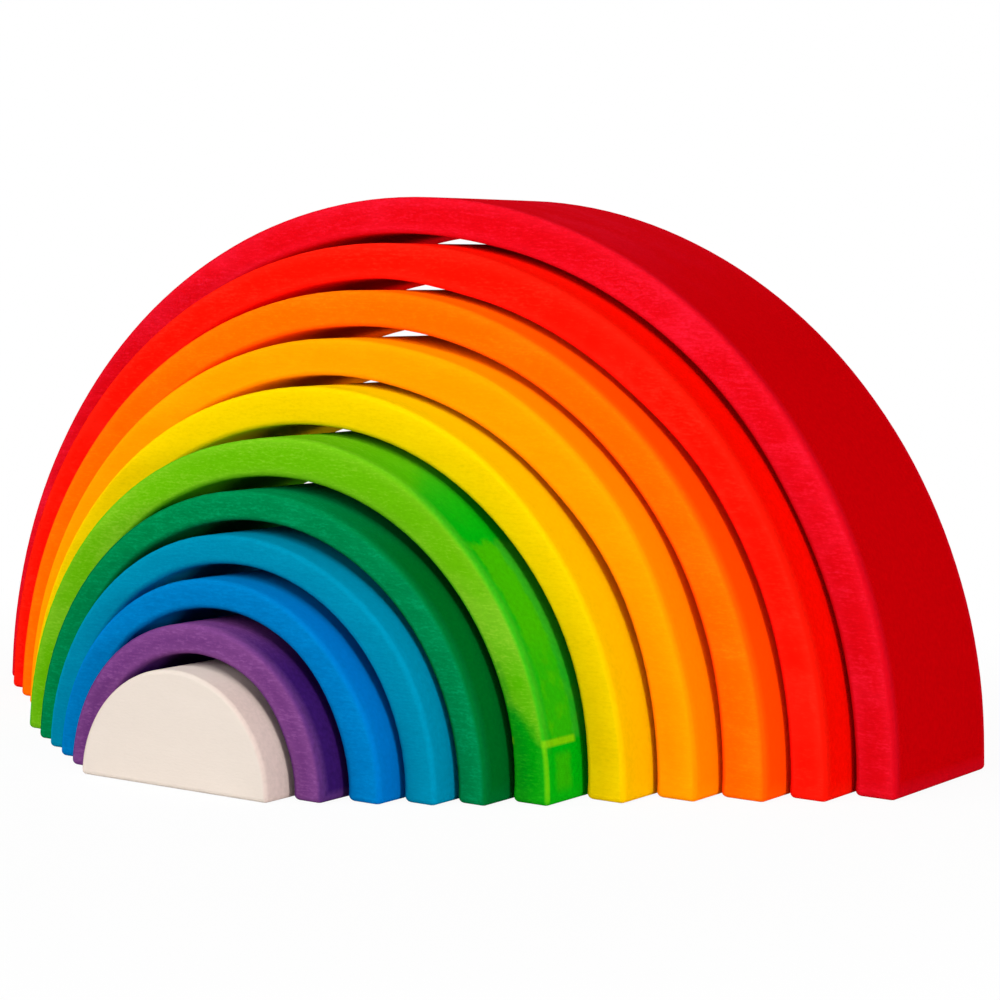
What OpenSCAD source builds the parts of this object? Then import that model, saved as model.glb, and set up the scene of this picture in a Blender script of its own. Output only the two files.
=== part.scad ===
// Nesting wooden rainbow: ten half-ring arches of shrinking size around a solid half-disc core,
// all standing on one level and drawn out of one another like a telescope.
// Units are millimetres. X runs across the arches, Y runs from front to back, Z is up.

/* [Nest] */
// Radius of the solid core
core_r = 35; // [20:0.5:60]
// Depth of every piece from its front face to its back face
depth = 66; // [40:1:110]
// Wall of the thick arches, which are the outer ones
thick_wall = 11.5; // [8:0.1:18]
// Wall of the thin arches, which are the inner ones
thin_wall = 9; // [7:0.1:15]
// Number of thick arches, counted from the largest
thick_arches = 6; // [0:1:10]
// Play between a piece and the arch around it
play = 3.5; // [2:0.1:8]
// Rounding of all sanded edges
ease = 1.2; // [0.5:0.1:3]

/* [How far each piece stands out of the arch around it] */
// Red arch, out of the crimson arch
red_out = 15.5; // [0:0.5:60]
// Orange arch, out of the red arch
orange_out = 12; // [0:0.5:60]
// Amber arch, out of the orange arch
amber_out = 12.5; // [0:0.5:60]
// Yellow arch, out of the amber arch
yellow_out = 15.5; // [0:0.5:60]
// Lime arch, out of the yellow arch
lime_out = 17.5; // [0:0.5:60]
// Green arch, out of the lime arch
green_out = 11.5; // [0:0.5:60]
// Teal arch, out of the green arch
teal_out = 9; // [0:0.5:60]
// Blue arch, out of the teal arch
blue_out = 9; // [0:0.5:60]
// Purple arch, out of the blue arch
purple_out = 9; // [0:0.5:60]
// Core, out of the purple arch
core_out = 9.5; // [0:0.5:60]

/* [Hidden] */
$fa = 2;
$fs = 0.4;
arches = 10;
outs = [0, red_out, orange_out, amber_out, yellow_out, lime_out, green_out, teal_out, blue_out,
    purple_out, core_out];

// Arches are numbered from 0, the largest, to 9, the smallest; the core is number 10.
function wall(k) = k < thick_arches ? thick_wall : thin_wall;
function inner_r(k) = outer_r(k + 1) + play;
function outer_r(k) = k == arches ? core_r : inner_r(k) + wall(k);
function drawn(k) = k == 0 ? 0 : drawn(k - 1) + outs[k];
front_y = (drawn(arches) - depth) / 2;

// Rectangle from the origin to [w, h] with rounded corners
module rounded_rect(w, h) {
    translate([ease, 0])
        square([w - 2 * ease, h]);
    translate([0, ease])
        square([w, h - 2 * ease]);
    for (x = [ease, w - ease], y = [ease, h - ease])
        translate([x, y])
            circle(ease);
}

// Half turn of an upright section about the front-to-back axis, from floor to floor
module half_turn() {
    translate([0, depth, 0])
        rotate([90, 0, 0])
            rotate_extrude(angle = 180)
                children();
}

// Section of the waste along a bottom edge that gets rounded; the piece lies right of it
module edge_waste() {
    difference() {
        translate([-2, -2])
            square(ease + 2);
        translate([ease, ease])
            circle(ease);
    }
}

// Waste along the bottom edge of a side face that stands at x
module side_waste(x) {
    translate([x, depth + 1, 0])
        rotate([90, 0, 0])
            linear_extrude(depth + 2)
                edge_waste();
}

// Moves piece k to its place in the row
module in_row(k) {
    translate([0, front_y - drawn(k), 0])
        children();
}

// The inner waste stands back by lean, because the inner wall leans over it
lean = 0.1;

module arch(k) {
    in_row(k)
        difference() {
            half_turn()
                translate([inner_r(k), 0])
                    rounded_rect(wall(k), depth);
            for (side = [0, 1])
                mirror([side, 0, 0]) {
                    side_waste(inner_r(k) - lean);
                    mirror([1, 0, 0])
                        side_waste(-outer_r(k));
                }
        }
}

module crimson_arch() {
    color("#c8102a")
        arch(0);
}

module red_arch() {
    color("#f01a0c")
        arch(1);
}

module orange_arch() {
    color("#fa6e06")
        arch(2);
}

module amber_arch() {
    color("#fa9f05")
        arch(3);
}

module yellow_arch() {
    color("#f4c806")
        arch(4);
}

module lime_arch() {
    color("#5cb40c")
        arch(5);
}

module green_arch() {
    color("#048a4c")
        arch(6);
}

module teal_arch() {
    color("#0488aa")
        arch(7);
}

module blue_arch() {
    color("#0474bc")
        arch(8);
}

module purple_arch() {
    color("#6a3c84")
        arch(9);
}

module core_block() {
    color("#e6d6c6")
        in_row(arches)
            difference() {
                half_turn()
                    intersection() {
                        translate([-core_r, 0])
                            rounded_rect(2 * core_r, depth);
                        square([core_r, depth]);
                    }
                for (side = [0, 1])
                    mirror([side, 0, 0])
                        side_waste(-core_r);
            }
}

crimson_arch();
red_arch();
orange_arch();
amber_arch();
yellow_arch();
lime_arch();
green_arch();
teal_arch();
blue_arch();
purple_arch();
core_block();
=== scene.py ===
import math

import bpy
from mathutils import Matrix, Vector


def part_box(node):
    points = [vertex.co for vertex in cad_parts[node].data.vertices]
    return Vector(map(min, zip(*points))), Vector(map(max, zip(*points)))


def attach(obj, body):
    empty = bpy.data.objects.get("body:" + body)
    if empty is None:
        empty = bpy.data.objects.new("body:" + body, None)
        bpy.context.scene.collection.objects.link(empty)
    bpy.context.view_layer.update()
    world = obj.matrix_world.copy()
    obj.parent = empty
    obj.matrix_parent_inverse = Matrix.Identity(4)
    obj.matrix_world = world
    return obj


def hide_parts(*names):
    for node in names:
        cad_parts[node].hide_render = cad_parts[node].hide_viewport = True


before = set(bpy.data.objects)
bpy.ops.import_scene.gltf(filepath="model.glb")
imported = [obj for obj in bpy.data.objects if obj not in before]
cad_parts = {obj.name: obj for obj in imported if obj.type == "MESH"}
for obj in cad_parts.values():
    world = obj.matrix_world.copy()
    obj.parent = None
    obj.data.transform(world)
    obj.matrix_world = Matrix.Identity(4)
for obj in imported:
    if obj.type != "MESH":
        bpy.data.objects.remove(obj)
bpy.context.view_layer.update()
print("frame loaded with", len(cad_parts), "nodes")

scene = bpy.context.scene
scene.view_settings.view_transform = "Standard"


# Camera, fitted to the edges of all pieces; metres and degrees
cameraSettings = {
    "place": (0.5299, -0.7375, 0.1659),
    "turn": 32.97,  # left of looking along +Y
    "tilt": -5.43,
    "roll": 1.38,
    "lens": 103.5,  # lens and sensor are in millimetres
    "sensor": 36,
    "farClip": 50,
}


def addCamera(settings):
    data = bpy.data.cameras.new("camera")
    data.lens = settings["lens"]
    data.sensor_width = settings["sensor"]
    data.clip_end = settings["farClip"]
    camera = bpy.data.objects.new("camera", data)
    scene.collection.objects.link(camera)
    turn = Matrix.Rotation(math.radians(settings["turn"]), 3, "Z")
    tilt = Matrix.Rotation(math.radians(90 + settings["tilt"]), 3, "X")
    roll = Matrix.Rotation(math.radians(settings["roll"]), 3, "Z")
    camera.location = settings["place"]
    camera.rotation_euler = (turn @ tilt @ roll).to_euler()
    scene.camera = camera


addCamera(cameraSettings)
print("camera set")


# Node helpers
def addNode(tree, kind, settings=None, values=None):
    made = tree.nodes.new(kind)
    for key, value in (settings or {}).items():
        setattr(made, key, value)
    for key, value in (values or {}).items():
        made.inputs[key].default_value = value
    return made


def wire(tree, output, target):
    tree.links.new(output, target)


# A plain value is typed into the socket, anything else is wired to it
def feed(tree, socket, value):
    if isinstance(value, (int, float, tuple)):
        socket.default_value = value
    else:
        wire(tree, value, socket)


def maths(tree, operation, first, second=0, clamp=False):
    made = addNode(tree, "ShaderNodeMath", {"operation": operation, "use_clamp": clamp})
    feed(tree, made.inputs[0], first)
    feed(tree, made.inputs[1], second)
    return made.outputs[0]


def spread(tree, value, fromLow, fromHigh, toLow, toHigh):
    made = addNode(tree, "ShaderNodeMapRange", {"interpolation_type": "SMOOTHSTEP"})
    feed(tree, made.inputs["Value"], value)
    feed(tree, made.inputs["From Min"], fromLow)
    feed(tree, made.inputs["From Max"], fromHigh)
    feed(tree, made.inputs["To Min"], toLow)
    feed(tree, made.inputs["To Max"], toHigh)
    return made.outputs["Result"]


def mixValues(tree, factor, first, second):
    made = addNode(tree, "ShaderNodeMix", {"data_type": "FLOAT"})
    feed(tree, made.inputs["Factor"], factor)
    feed(tree, made.inputs["A"], first)
    feed(tree, made.inputs["B"], second)
    return made.outputs["Result"]


def mixColours(tree, factor, first, second):
    made = addNode(tree, "ShaderNodeMix", {"data_type": "RGBA"})
    for slot, value in (("Factor_Float", factor), ("A_Color", first), ("B_Color", second)):
        feed(tree, next(s for s in made.inputs if s.identifier == slot), value)
    return next(s for s in made.outputs if s.identifier == "Result_Color")


def stretchedNoise(tree, place, cells, detail, roughness):
    mapping = addNode(tree, "ShaderNodeMapping", values={"Scale": cells})
    wire(tree, place, mapping.inputs["Vector"])
    look = {"Scale": 1, "Detail": detail, "Roughness": roughness}
    noise = addNode(tree, "ShaderNodeTexNoise", values=look)
    wire(tree, mapping.outputs["Vector"], noise.inputs["Vector"])
    return noise.outputs["Fac"]


def srgb(red, green, blue):
    def linear(value):
        value /= 255
        return value / 12.92 if value <= 0.04045 else ((value + 0.055) / 1.055) ** 2.4
    return (linear(red), linear(green), linear(blue), 1)


# Dyed wood: straight grain along X, dye that takes unevenly, deeper end grain, pale sanded edges.
# A noise has its cells per metre along X, Y and Z, its detail and its roughness.
grainSettings = {
    "fibre": ((260, 1500, 1500), 5, 0.65),
    "band": ((7, 130, 130), 3, 0.55),
    "blotch": ((22, 40, 40), 4, 0.6),
    "pore": ((800, 1700, 1700), 2, 0.55),
    "endPore": ((900, 700, 700), 3, 0.55),
    "fibreWeight": 1.5,
    "bandWeight": 0.6,
    "poreWeight": 1.0,
    "endFacing": (0.02, 0.72),  # how far a face turns to X while end grain fades in
    "endRagged": 0.12,
    "thinSpots": (0.48, 0.72),  # blotch values over which the dye gets thin
    "deepening": 0.2,
    "roughFrom": (0.7, 1.3),  # fibre and blotch together
    "roughTo": (0.72, 0.88),
    "fibreHeight": 0.6,
    "bumpStrength": 0.12,
    "bumpDistance": 0.0004,
}


def buildWoodGroup(settings):
    group = bpy.data.node_groups.new("dyedWood", "ShaderNodeTree")
    face = group.interface
    for name, kind, value in (
        ("Face Colour", "NodeSocketColor", (0.8, 0.2, 0.1, 1)),
        ("End Colour", "NodeSocketColor", (0.5, 0.1, 0.05, 1)),
        ("Thin Colour", "NodeSocketColor", (0.9, 0.4, 0.3, 1)),
        ("Eased Edge", "NodeSocketFloat", 0),
        ("Grain", "NodeSocketFloat", 0.3),
        ("End Grain", "NodeSocketFloat", 0.1),
        ("Blotch", "NodeSocketFloat", 0.2),
        ("Sanding", "NodeSocketFloat", 0.3),
    ):
        face.new_socket(name, in_out="INPUT", socket_type=kind).default_value = value
    face.new_socket("Colour", in_out="OUTPUT", socket_type="NodeSocketColor")
    face.new_socket("Roughness", in_out="OUTPUT", socket_type="NodeSocketFloat")
    face.new_socket("Height", in_out="OUTPUT", socket_type="NodeSocketFloat")
    source = addNode(group, "NodeGroupInput").outputs
    result = addNode(group, "NodeGroupOutput").inputs
    where = addNode(group, "ShaderNodeTexCoord")

    def noise(name):
        return stretchedNoise(group, where.outputs["Object"], *settings[name])

    def swing(value, amount):
        centred = maths(group, "SUBTRACT", maths(group, "MULTIPLY", value, 2), 1)
        return maths(group, "MULTIPLY", centred, amount)

    fibre = noise("fibre")
    blotch = noise("blotch")
    pore = noise("pore")

    # End grain shows where the surface faces along X
    normal = addNode(group, "ShaderNodeSeparateXYZ")
    wire(group, where.outputs["Normal"], normal.inputs[0])
    sideways = maths(group, "ABSOLUTE", normal.outputs["X"])
    sideways = maths(group, "ADD", sideways, swing(blotch, settings["endRagged"]))
    endShare = spread(group, sideways, *settings["endFacing"], 0, 1)

    # Flat grain: blotches, fibres, growth bands and pores let the pale wood show through the dye
    streaks = swing(fibre, settings["fibreWeight"])
    streaks = maths(group, "ADD", streaks, swing(noise("band"), settings["bandWeight"]))
    streaks = maths(group, "ADD", streaks, swing(pore, settings["poreWeight"]))
    paler = maths(group, "MULTIPLY", maths(group, "MAXIMUM", streaks), source["Grain"])
    deeper = maths(group, "MULTIPLY", maths(group, "MINIMUM", streaks), source["Grain"])
    thinMask = spread(group, blotch, *settings["thinSpots"], 0, source["Blotch"])
    thinMask = maths(group, "ADD", thinMask, paler, clamp=True)
    flat = mixColours(group, thinMask, source["Face Colour"], source["Thin Colour"])
    flatTone = maths(group, "ADD", maths(group, "MULTIPLY", deeper, settings["deepening"]), 1)

    # End grain: deeper dye with small open pores
    endTone = maths(group, "ADD", swing(noise("endPore"), source["End Grain"]), 1)
    tone = mixValues(group, endShare, flatTone, endTone)

    base = mixColours(group, endShare, flat, source["End Colour"])
    sanded = maths(group, "MULTIPLY", source["Eased Edge"], source["Sanding"])
    base = mixColours(group, sanded, base, source["Thin Colour"])
    tint = addNode(group, "ShaderNodeHueSaturation")
    wire(group, tone, tint.inputs["Value"])
    wire(group, base, tint.inputs["Color"])
    wire(group, tint.outputs["Color"], result["Colour"])
    uneven = maths(group, "ADD", fibre, blotch)
    rough = spread(group, uneven, *settings["roughFrom"], *settings["roughTo"])
    wire(group, rough, result["Roughness"])
    raised = maths(group, "MULTIPLY", fibre, settings["fibreHeight"])
    wire(group, maths(group, "ADD", raised, pore), result["Height"])
    return group


woodGroup = buildWoodGroup(grainSettings)


# Marks are extra dye on one piece, and on the lime arch also painted shade, placed by its front face and
# its radii
def dyedMaterial(name, dye, addMarks=None, place=None):
    material = bpy.data.materials.new(name)
    material.use_nodes = True
    tree = material.node_tree
    shader = tree.nodes["Principled BSDF"]
    shader.inputs["Specular IOR Level"].default_value = 0
    wood = addNode(tree, "ShaderNodeGroup", {"node_tree": woodGroup})
    for key in ("Grain", "End Grain", "Blotch", "Sanding"):
        wood.inputs[key].default_value = dye[key.lower()]
    for key in ("Face", "End", "Thin"):
        wood.inputs[key + " Colour"].default_value = srgb(*dye[key.lower()])
    if addMarks:
        addMarks(tree, wood, place)
    eased = addNode(tree, "ShaderNodeAttribute", {"attribute_name": "easedEdge"})
    wire(tree, eased.outputs["Fac"], wood.inputs["Eased Edge"])
    relief = {"Strength": grainSettings["bumpStrength"], "Distance": grainSettings["bumpDistance"]}
    bump = addNode(tree, "ShaderNodeBump", values=relief)
    wire(tree, wood.outputs["Height"], bump.inputs["Height"])
    wire(tree, wood.outputs["Colour"], shader.inputs["Base Color"])
    wire(tree, wood.outputs["Roughness"], shader.inputs["Roughness"])
    wire(tree, bump.outputs["Normal"], shader.inputs["Normal"])
    return material


# Modelling helpers; metres and degrees
archSettings = {
    "cell": 0.0042,  # mesh cell across the faces
    "stretch": 1.4,  # cells are longer along the arch
    "leastSteps": 40,
    "ease": 0.0017,  # rounding of the sanded edges
    "easeSegments": 4,
    "sharpAngle": 50,
    "mergeDistance": 1e-6,
    "waviness": 0.0002,  # depth of the marks left by sanding by hand
    "waveSize": 0.035,
    "stillHeight": 0.004,  # the sanding marks start above this height
    "flatWeight": 80,  # how far the large faces pull the shading flat
}

handSanding = bpy.data.textures.new("handSanding", "CLOUDS")
handSanding.noise_scale = archSettings["waveSize"]
handSanding.noise_depth = 1


def deselectAll():
    if bpy.context.object and bpy.context.object.mode != "OBJECT":
        bpy.ops.object.mode_set(mode="OBJECT")
    bpy.ops.object.select_all(action="DESELECT")


def startEditing(name):
    piece = bpy.context.object
    piece.name = name
    piece.data.name = name
    bpy.ops.object.transform_apply(location=True, rotation=True, scale=True)
    bpy.ops.object.mode_set(mode="EDIT")
    bpy.ops.mesh.select_mode(type="FACE")
    bpy.ops.mesh.select_all(action="SELECT")
    return piece


def startFoot(name, centreX, width, low, high):
    deselectAll()
    length = high[1] - low[1]
    across = max(2, round(width / archSettings["cell"]))
    along = round(length / archSettings["cell"])
    bpy.ops.mesh.primitive_grid_add(
        x_subdivisions=across, y_subdivisions=along, size=1,
        location=(centreX, (low[1] + high[1]) / 2, 0))
    bpy.context.object.scale = (width, length, 1)
    return startEditing(name)


def easeEdges(piece, ease):
    bpy.ops.mesh.select_all(action="SELECT")
    bpy.ops.mesh.remove_doubles(threshold=archSettings["mergeDistance"])
    bpy.ops.mesh.normals_make_consistent(inside=False)
    bpy.ops.mesh.select_all(action="DESELECT")
    bpy.ops.mesh.select_mode(type="EDGE")
    bpy.ops.mesh.edges_select_sharp(sharpness=math.radians(archSettings["sharpAngle"]))
    bpy.ops.mesh.bevel(
        offset=ease, segments=archSettings["easeSegments"],
        profile=0.5, affect="EDGES", clamp_overlap=True)
    bpy.ops.mesh.select_mode(type="FACE")
    bpy.ops.object.mode_set(mode="OBJECT")
    eased = piece.data.attributes.new("easedEdge", "FLOAT", "POINT")
    for polygon in piece.data.polygons:
        if polygon.select:
            for index in polygon.vertices:
                eased.data[index].value = 1


def sandByHand(piece):
    still = archSettings["stillHeight"]
    loose = piece.vertex_groups.new(name="aboveFoot")
    loose.add([v.index for v in piece.data.vertices if v.co.z > still], 1, "REPLACE")
    waves = piece.modifiers.new("sanding", "DISPLACE")
    waves.texture = handSanding
    waves.texture_coords = "LOCAL"
    waves.strength = archSettings["waviness"]
    waves.mid_level = 1  # marks only go into the wood
    waves.vertex_group = loose.name
    bpy.ops.object.modifier_apply(modifier=waves.name)


def rise(value, middle, soft):
    ramp = min(1, max(0, (value - middle + soft) / (2 * soft)))
    return ramp * ramp * (3 - 2 * ramp)


def moveRadially(piece, moves):
    most = max(moves, key=abs)
    shares = {"right": [], "left": [], "up": []}
    for vertex, move in zip(piece.data.vertices, moves):
        reach = math.hypot(vertex.co.x, vertex.co.z)
        shares["right"].append(move / most * max(0, vertex.co.x / reach))
        shares["left"].append(move / most * max(0, -vertex.co.x / reach))
        shares["up"].append(move / most * max(0, vertex.co.z / reach))
    for name, axis, push in (("right", "X", most), ("left", "X", -most), ("up", "Z", most)):
        area = piece.vertex_groups.new(name=name)
        for index, share in enumerate(shares[name]):
            area.add([index], share, "REPLACE")
        shift = piece.modifiers.new(name, "DISPLACE")
        shift.direction = axis
        shift.mid_level = 0
        shift.strength = push
        shift.vertex_group = area.name
        bpy.ops.object.modifier_apply(modifier=shift.name)


# Arches cut by hand are thicker in places. Both legs gain wood on the inner side, and the right half
# also at a shoulder, inside, and at a flare, outside. Angles are in degrees from the right foot.
# Legs have an end, a softness and a gain; a shoulder or flare has a start, an end and the same two.
noLegs = (0, 1, 0)
noBulge = (0, 0, 1, 0)


def cutByHand(piece, inner, wall, settings):
    legEnd, legSoft, legGain = settings.get("legs", noLegs)

    def bulge(angle, start, end, soft, gain):
        return gain * rise(angle, start, soft) * (1 - rise(angle, end, soft))

    inward = []
    outward = []
    for vertex in piece.data.vertices:
        reach = math.hypot(vertex.co.x, vertex.co.z)
        angle = math.degrees(math.atan2(vertex.co.z, vertex.co.x))
        outerShare = min(1, max(0, (reach - inner) / wall))
        extra = legGain * (1 - rise(min(angle, 180 - angle), legEnd, legSoft))
        extra += bulge(angle, *settings.get("shoulder", noBulge))
        inward.append(-extra * (1 - outerShare))
        outward.append(bulge(angle, *settings.get("flare", noBulge)) * outerShare)
    for moves in (inward, outward):
        if any(moves):
            moveRadially(piece, moves)


def finishShading(piece):
    bpy.ops.object.shade_smooth()
    flats = piece.modifiers.new("flats", "WEIGHTED_NORMAL")
    flats.weight = archSettings["flatWeight"]
    bpy.ops.object.modifier_apply(modifier=flats.name)


def finishPiece(piece, node, material):
    piece.data.materials.clear()
    piece.data.materials.append(material)
    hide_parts(node)
    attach(piece, node)
    print(piece.name, "made with", len(piece.data.polygons), "faces")


# An arch is a foot spun by half a turn about the front-to-back axis
def makeArch(settings):
    low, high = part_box(settings["node"])
    outer = high[0]
    wall = settings["wall"]
    inner = outer - wall
    piece = startFoot(settings["name"], outer - wall / 2, wall, low, high)
    length = math.pi * outer / archSettings["cell"]
    steps = max(archSettings["leastSteps"], round(length / archSettings["stretch"]))
    bpy.ops.mesh.spin(steps=steps, angle=math.pi, center=(0, 0, 0), axis=(0, 1, 0))
    easeEdges(piece, archSettings["ease"])
    sandByHand(piece)
    cutByHand(piece, inner, wall, settings)
    finishShading(piece)
    place = {"front": low[1], "inner": inner, "outer": outer}
    material = dyedMaterial(settings["name"] + "Dye", settings["dye"], settings.get("marks"), place)
    finishPiece(piece, settings["node"], material)


thickWall = 0.0115
thinWall = 0.009

crimsonArch = {
    "name": "crimsonArch", "node": "crimson_arch", "wall": thickWall,
    "legs": (30, 20, 0.0021), "shoulder": (25, 90, 10, 0.0015),
    "dye": {"face": (214, 8, 20), "end": (197, 0, 6), "thin": (238, 32, 62),
            "grain": 0.55, "end grain": 0.16, "blotch": 0.3, "sanding": 0.15},
}
makeArch(crimsonArch)

redArch = {
    "name": "redArch", "node": "red_arch", "wall": thickWall,
    "legs": (14, 14, 0.0009), "shoulder": (46, 86, 8, 0.0018),
    "dye": {"face": (245, 17, 4), "end": (235, 9, 0), "thin": (255, 50, 30),
            "grain": 0.5, "end grain": 0.16, "blotch": 0.2, "sanding": 0.15},
}
makeArch(redArch)

orangeArch = {
    "name": "orangeArch", "node": "orange_arch", "wall": thickWall,
    "legs": (16, 18, 0.0024), "flare": (-40, 45, 20, 0.0012),
    "dye": {"face": (254, 104, 0), "end": (254, 74, 0), "thin": (255, 132, 14),
            "grain": 0.55, "end grain": 0.12, "blotch": 0.25, "sanding": 0.15},
}
makeArch(orangeArch)

amberArch = {
    "name": "amberArch", "node": "amber_arch", "wall": thickWall,
    "legs": (22, 18, 0.0021), "shoulder": (38, 88, 12, 0.0012), "flare": (30, 72, 10, 0.0016),
    "dye": {"face": (254, 150, 0), "end": (254, 132, 0), "thin": (255, 172, 10),
            "grain": 0.4, "end grain": 0.1, "blotch": 0.25, "sanding": 0.15},
}
makeArch(amberArch)

yellowArch = {
    "name": "yellowArch", "node": "yellow_arch", "wall": thickWall,
    "legs": (14, 15, 0.0016), "flare": (50, 95, 12, 0.0008),
    "dye": {"face": (236, 194, 0), "end": (238, 182, 0), "thin": (246, 208, 6),
            "grain": 0.5, "end grain": 0.1, "blotch": 0.25, "sanding": 0.15},
}
makeArch(yellowArch)

# The lime dye ran: green patches on the right leg and a pale line where the dye bath stopped. Two more
# marks are painted shade: darker green along the inner edge of the foot and a blue-green band where the
# outer side runs into the gap.
# A border has its place and its softness, in degrees from the right foot or in metres.
limeMarks = {
    # The darker green for the foot's inner edge is painted shade.
    "deepGreen": (0, 148, 10), "paintedShadeGreen": (0, 128, 22), "sideGreen": (0, 168, 12),
    # The blue-green for the band by the gap is painted shade.
    "paintedShadeBlueGreen": (0, 156, 50), "olive": (52, 170, 2), "paleLine": (116, 192, 6),
    "greenThin": (40, 176, 24),
    "ragged": ((160, 260, 260), 4, 0.65), "ragAngle": 6, "ragDepth": 0.004,
    "mottle": ((120, 190, 190), 3, 0.55),
    # Front face
    "legTop": (34, 12), "legShare": 0.45,
    "innerRim": 0.001, "footTop": (19.5, 3), "footSlope": 900,
    "rimBand": (0.002, 0.0012), "rimBandTop": (27, 2), "rimBandShare": 0.7,
    # Painted shadow: the foot darkens towards its inner edge, where the next arch in front shades it
    "footPaintedShade": (0.004, 0.003), "footPaintedShadeShare": 0.5,
    "cornerWidth": 0.0012, "cornerSoft": 0.0005, "cornerTop": (10.4, 0.6), "cornerFoot": (0.001, 0.004),
    "cornerShare": 0.75,
    # Outer side
    "patchStart": (47, 1.5), "patchEnd": (60, 2.5), "patchSlant": -350,
    "lowEnd": (47, 2), "middleEnd": (26, 4), "middleSpots": (0.42, 0.12), "middleShare": 0.5,
    # Painted shade: a blue-green band on the outer side where it runs into the gap beside the next arch
    # out
    "frontBand": (0.004, 0.0012), "gapPaintedShadeBand": (0.016, 0.001), "gapPaintedShadeShare": 0.3,
    "lineHeight": 0.018, "footSoft": 0.0006, "lineWidth": (0.001, 0.0005), "lineEnd": (0.0165, 0.001),
    "centreFront": (0.005, 0.0015), "centreBack": (0.013, 0.0015),
    "centreLow": (0.004, 0.002), "centreHigh": (0.0145, 0.0015), "centreShare": 0.7,
}


def addLimeMarks(tree, wood, place):
    marks = limeMarks
    where = addNode(tree, "ShaderNodeTexCoord").outputs["Object"]
    axes = addNode(tree, "ShaderNodeSeparateXYZ")
    wire(tree, where, axes.inputs[0])
    across, along, up = axes.outputs

    def plus(first, second):
        return maths(tree, "ADD", first, second)

    def times(first, second):
        return maths(tree, "MULTIPLY", first, second)

    def above(value, edge, soft):
        return spread(tree, value, edge - soft, edge + soft, 0, 1)

    def below(value, edge, soft):
        return spread(tree, value, edge - soft, edge + soft, 1, 0)

    def both(*masks):
        found = masks[0]
        for mask in masks[1:]:
            found = times(found, mask)
        return found

    def startColour(name):
        made = addNode(tree, "ShaderNodeRGB")
        made.outputs[0].default_value = wood.inputs[name].default_value
        return made.outputs[0]

    def paint(base, mask, colour):
        return mixColours(tree, mask, base, srgb(*marks[colour]))

    angle = times(maths(tree, "ARCTAN2", up, across), 180 / math.pi)
    radius = maths(tree, "POWER", plus(times(across, across), times(up, up)), 0.5)
    inside = maths(tree, "SUBTRACT", radius, place["inner"] + marks["innerRim"])
    depth = maths(tree, "SUBTRACT", along, place["front"])
    ragged = maths(tree, "SUBTRACT", stretchedNoise(tree, where, *marks["ragged"]), 0.5)
    mottle = stretchedNoise(tree, where, *marks["mottle"])
    ragAngle = plus(angle, times(ragged, marks["ragAngle"]))
    ragDepth = plus(depth, times(ragged, marks["ragDepth"]))

    # Front face: green foot with a slanting upper end, with painted shadow darkening it along the inner
    # edge
    foot = below(plus(ragAngle, times(inside, marks["footSlope"])), *marks["footTop"])
    rimBand = both(below(inside, *marks["rimBand"]), below(ragAngle, *marks["rimBandTop"]))
    footPaintedShade = both(foot, below(inside, *marks["footPaintedShade"]))
    corner = above(radius, place["outer"] - marks["cornerWidth"], marks["cornerSoft"])
    corner = both(corner, below(angle, *marks["cornerTop"]), above(up, *marks["cornerFoot"]))
    front = startColour("Face Colour")
    front = paint(front, both(below(angle, *marks["legTop"]), marks["legShare"]), "olive")
    front = paint(front, both(rimBand, marks["rimBandShare"]), "deepGreen")
    front = paint(front, foot, "deepGreen")
    # Painted shadow: darker green along the foot's inner edge
    front = paint(front, both(footPaintedShade, marks["footPaintedShadeShare"]), "paintedShadeGreen")
    front = paint(front, both(corner, marks["cornerShare"]), "paleLine")
    wire(tree, front, wood.inputs["Face Colour"])

    # Outer side: a green patch, green along the front corner, a pale line and a green foot, and painted
    # shade as a blue-green band where the side runs into the gap
    patchAngle = plus(ragAngle, times(depth, marks["patchSlant"]))
    patch = both(below(patchAngle, *marks["patchEnd"]), above(ragAngle, *marks["patchStart"]))
    low = below(angle, *marks["lowEnd"])
    middle = both(below(angle, *marks["middleEnd"]), above(mottle, *marks["middleSpots"]))
    sideFoot = below(up, marks["lineHeight"], marks["footSoft"])
    centre = both(sideFoot, above(ragDepth, *marks["centreFront"]), below(ragDepth, *marks["centreBack"]))
    centre = both(centre, above(up, *marks["centreLow"]), below(up, *marks["centreHigh"]))
    fromLine = maths(tree, "ABSOLUTE", maths(tree, "SUBTRACT", up, marks["lineHeight"]))
    line = both(below(fromLine, *marks["lineWidth"]), below(depth, *marks["lineEnd"]))
    sideCorner = both(corner, below(depth, marks["cornerWidth"], marks["cornerSoft"]))
    side = startColour("End Colour")
    side = paint(side, patch, "sideGreen")
    side = paint(side, both(middle, marks["middleShare"]), "sideGreen")
    side = paint(side, both(low, below(ragDepth, *marks["frontBand"])), "sideGreen")
    # Painted shade: blue-green band where the side runs into the gap
    side = paint(side, both(low, above(ragDepth, *marks["gapPaintedShadeBand"]), marks["gapPaintedShadeShare"]), "paintedShadeBlueGreen")
    side = paint(side, sideFoot, "sideGreen")
    side = paint(side, both(centre, marks["centreShare"]), "olive")
    side = paint(side, line, "paleLine")
    side = paint(side, both(sideCorner, marks["cornerShare"]), "paleLine")
    wire(tree, side, wood.inputs["End Colour"])

    thin = paint(startColour("Thin Colour"), foot, "greenThin")
    wire(tree, thin, wood.inputs["Thin Colour"])


limeArch = {
    "name": "limeArch", "node": "lime_arch", "wall": thickWall, "marks": addLimeMarks,
    "legs": (8, 12, 0.001), "flare": (55, 92, 10, 0.0013),
    "dye": {"face": (98, 175, 8), "end": (62, 174, 2), "thin": (140, 194, 46),
            "grain": 0.6, "end grain": 0.22, "blotch": 0.4, "sanding": 0.15},
}
makeArch(limeArch)

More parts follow.
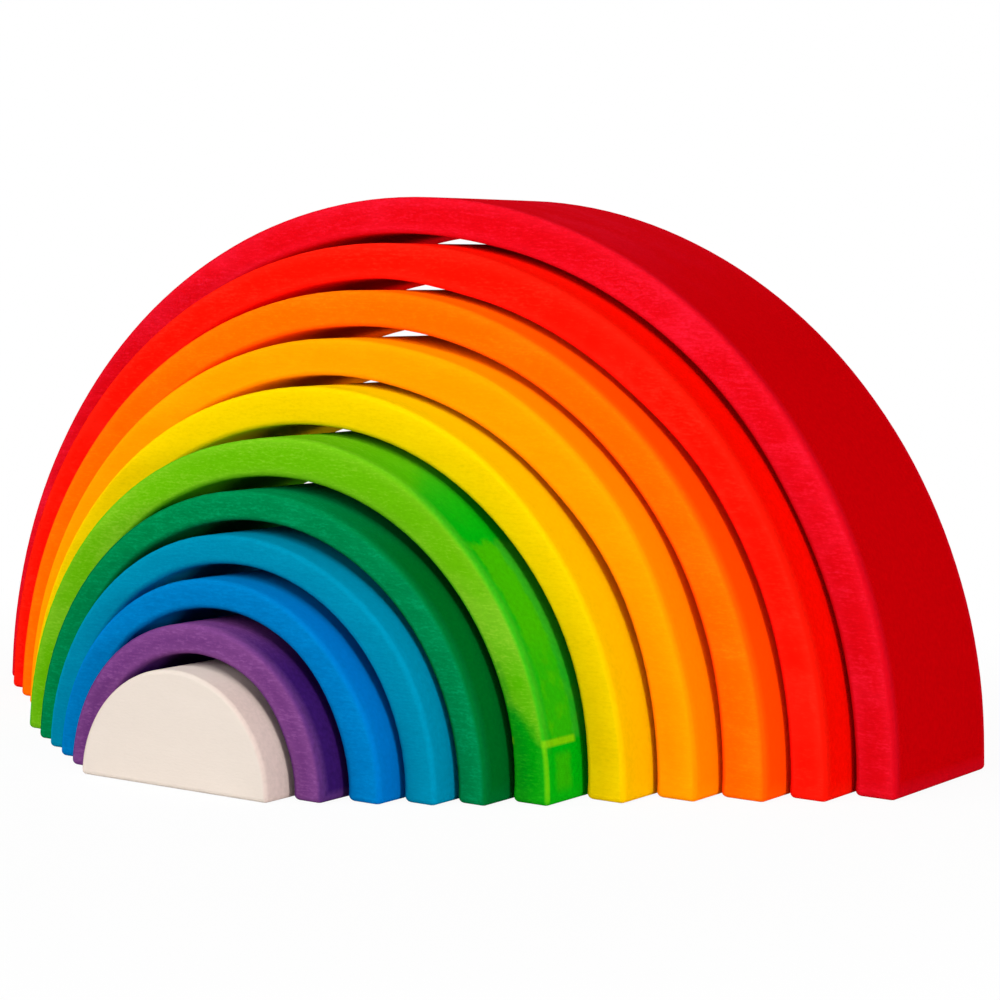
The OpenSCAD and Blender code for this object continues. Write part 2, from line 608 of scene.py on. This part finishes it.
greenArch = {
    "name": "greenArch", "node": "green_arch", "wall": thinWall,
    "flare": (-40, 50, 20, 0.001),
    "dye": {"face": (0, 119, 64), "end": (0, 97, 32), "thin": (6, 150, 92),
            "grain": 0.75, "end grain": 0.16, "blotch": 0.25, "sanding": 0.1},
}
makeArch(greenArch)

tealArch = {
    "name": "tealArch", "node": "teal_arch", "wall": thinWall,
    "flare": (-40, 50, 20, 0.002),
    "dye": {"face": (0, 125, 157), "end": (0, 134, 170), "thin": (4, 142, 176),
            "grain": 0.6, "end grain": 0.16, "blotch": 0.25, "sanding": 0.1},
}
makeArch(tealArch)

blueArch = {
    "name": "blueArch", "node": "blue_arch", "wall": thinWall,
    "legs": (40, 20, 0.0011), "flare": (-40, 28, 14, 0.0016),
    "dye": {"face": (0, 112, 177), "end": (0, 110, 187), "thin": (2, 130, 196),
            "grain": 0.65, "end grain": 0.12, "blotch": 0.25, "sanding": 0.1},
}
makeArch(blueArch)

purpleArch = {
    "name": "purpleArch", "node": "purple_arch", "wall": thinWall,
    "legs": (40, 20, 0.0014),
    "dye": {"face": (104, 53, 115), "end": (54, 22, 93), "thin": (146, 86, 150),
            "grain": 0.6, "end grain": 0.35, "blotch": 0.16, "sanding": 0.2},
}
makeArch(purpleArch)
print("arches done")

# The core is undyed, with rounder edges than the arches
coreBlock = {
    "name": "coreBlock", "node": "core_block", "sides": 144, "ease": 0.0026,
    "dye": {"face": (211, 199, 188), "end": (207, 184, 175), "thin": (226, 214, 203),
            "grain": 0.1, "end grain": 0.14, "blotch": 0.15, "sanding": 0.2},
}


def makeCore(settings):
    low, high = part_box(settings["node"])
    deselectAll()
    bpy.ops.mesh.primitive_cylinder_add(
        vertices=settings["sides"], radius=high[0], depth=high[1] - low[1], end_fill_type="NGON",
        location=(0, (low[1] + high[1]) / 2, 0), rotation=(math.pi / 2, 0, 0))
    piece = startEditing(settings["name"])
    bpy.ops.mesh.bisect(plane_co=(0, 0, 0), plane_no=(0, 0, 1), use_fill=True, clear_inner=True)
    easeEdges(piece, settings["ease"])
    finishShading(piece)
    finishPiece(piece, settings["node"], dyedMaterial("coreWood", settings["dye"]))


makeCore(coreBlock)
print("core done")


# Floor, white to the camera apart from the shadow close to the pieces
floorSettings = {
    "size": 12,
    "colour": (0.8, 0.8, 0.8, 1),
    "nearShare": 0.94,  # share of plain white near the pieces
    "fade": (0.2, 0.4),  # metres from the middle where the floor turns all white
}


# Rays that show the background itself, not its light
def seenPath(tree):
    path = addNode(tree, "ShaderNodeLightPath").outputs
    mirrored = maths(tree, "MAXIMUM", path["Is Glossy Ray"], path["Is Transmission Ray"])
    return maths(tree, "MAXIMUM", path["Is Camera Ray"], mirrored)


def addFloor(settings):
    deselectAll()
    bpy.ops.mesh.primitive_plane_add(size=settings["size"])
    floor = bpy.context.object
    floor.name = "floor"
    material = bpy.data.materials.new("paleFloor")
    material.use_nodes = True
    tree = material.node_tree
    tree.nodes.clear()
    matt = addNode(tree, "ShaderNodeBsdfDiffuse", values={"Color": settings["colour"]})
    white = addNode(tree, "ShaderNodeEmission", values={"Strength": 1})
    where = addNode(tree, "ShaderNodeTexCoord")
    away = addNode(tree, "ShaderNodeVectorMath", {"operation": "LENGTH"})
    wire(tree, where.outputs["Object"], away.inputs[0])
    share = spread(tree, away.outputs["Value"], *settings["fade"], settings["nearShare"], 1)
    share = maths(tree, "MULTIPLY", seenPath(tree), share)
    mix = addNode(tree, "ShaderNodeMixShader")
    wire(tree, share, mix.inputs[0])
    wire(tree, matt.outputs[0], mix.inputs[1])
    wire(tree, white.outputs[0], mix.inputs[2])
    end = addNode(tree, "ShaderNodeOutputMaterial")
    wire(tree, mix.outputs[0], end.inputs["Surface"])
    floor.data.materials.append(material)


addFloor(floorSettings)


# Light: a dim surround and five lamps; azimuth is to the right of the front
surroundLevel = 0.1
lampAim = Vector((0.02, 0, 0.07))
lampSettings = {
    "front": {"azimuth": 0, "elevation": 15, "distance": 1.6, "size": 0.6, "power": 5.6},
    "right": {"azimuth": 66, "elevation": 10, "distance": 1.8, "size": 0.25, "power": 16.6},
    "left": {"azimuth": -40, "elevation": 25, "distance": 1.2, "size": 0.6, "power": 6.6},
    "back": {"azimuth": 186, "elevation": 8, "distance": 1.6, "size": 0.6, "power": 13.9},
    "top": {"azimuth": 20, "elevation": 75, "distance": 1.4, "size": 0.8, "power": 9.7},
}


def addLamp(name, lamp):
    data = bpy.data.lights.new(name, "AREA")
    data.shape = "SQUARE"
    data.size = lamp["size"]
    data.energy = lamp["power"]
    made = bpy.data.objects.new(name, data)
    scene.collection.objects.link(made)
    turn = math.radians(lamp["azimuth"])
    lift = math.radians(lamp["elevation"])
    level = math.cos(lift)
    away = Vector((math.sin(turn) * level, -math.cos(turn) * level, math.sin(lift)))
    made.location = lampAim + away * lamp["distance"]
    made.rotation_euler = (-away).to_track_quat("-Z", "Y").to_euler()


def addSurround(strength):
    world = bpy.data.worlds.new("surround")
    world.use_nodes = True
    tree = world.node_tree
    shade = tree.nodes["Background"]
    shade.inputs["Color"].default_value = (1, 1, 1, 1)
    wire(tree, mixValues(tree, seenPath(tree), strength, 1), shade.inputs["Strength"])
    scene.world = world


for lampName, lamp in lampSettings.items():
    addLamp(lampName, lamp)
addSurround(surroundLevel)
print("floor and light set")
